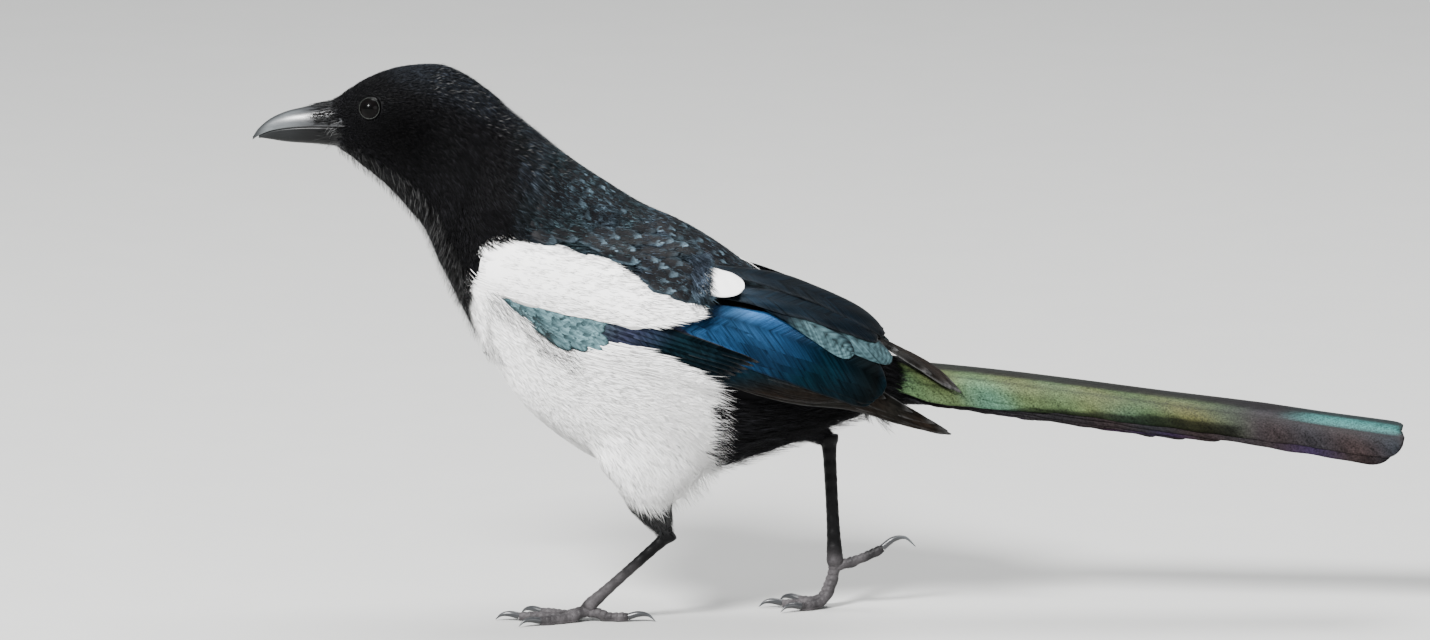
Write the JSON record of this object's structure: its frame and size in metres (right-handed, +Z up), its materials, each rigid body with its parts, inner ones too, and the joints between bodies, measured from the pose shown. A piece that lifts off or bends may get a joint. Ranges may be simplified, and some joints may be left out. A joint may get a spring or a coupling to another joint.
{
  "type": "eurasian magpie",
  "caption": "Life-size still model of a walking black-and-white magpie with folded glossy wings and a long stepped tail.",
  "frame": {"origin": "on the floor, half way between the tip of the bill and the tip of the tail, on the body's middle plane", "axes": "+Z up; the bird faces -X, its left side faces -Y and its tail points to +X"},
  "size_m": [0.4316, 0.0808, 0.2104],
  "materials": {
    "black_feathers": "velvet black plumage with a faint blue gloss",
    "white_feathers": "soft matte white plumage",
    "wing_feathers": "glossy blue and violet iridescent feathers",
    "tail_feathers": "glossy bronze-green iridescent feathers",
    "horn": "smooth dark horn",
    "leg_scales": "fine dark scales",
    "eye": "wet dark brown"
  },
  "bodies": {
    "root": {"belly": "white_feathers", "claw_left_hind": "horn", "claw_left_inner": "horn", "claw_left_middle": "horn", "claw_left_outer": "horn", "claw_right_hind": "horn", "claw_right_inner": "horn", "claw_right_middle": "horn", "claw_right_outer": "horn", "eye_left": "eye", "eye_right": "eye", "foot_left": "leg_scales", "foot_right": "leg_scales", "head": "black_feathers", "lower_bill": "horn", "mantle": "black_feathers", "neck": "black_feathers", "rump": "black_feathers", "scapulars_left": "white_feathers", "scapulars_right": "white_feathers", "tail": "tail_feathers", "tarsus_left": "leg_scales", "tarsus_right": "leg_scales", "thigh_left": "white_feathers", "thigh_right": "black_feathers", "upper_bill": "horn", "wing_left": "wing_feathers", "wing_right": "wing_feathers"}
  },
  "joints": []
}
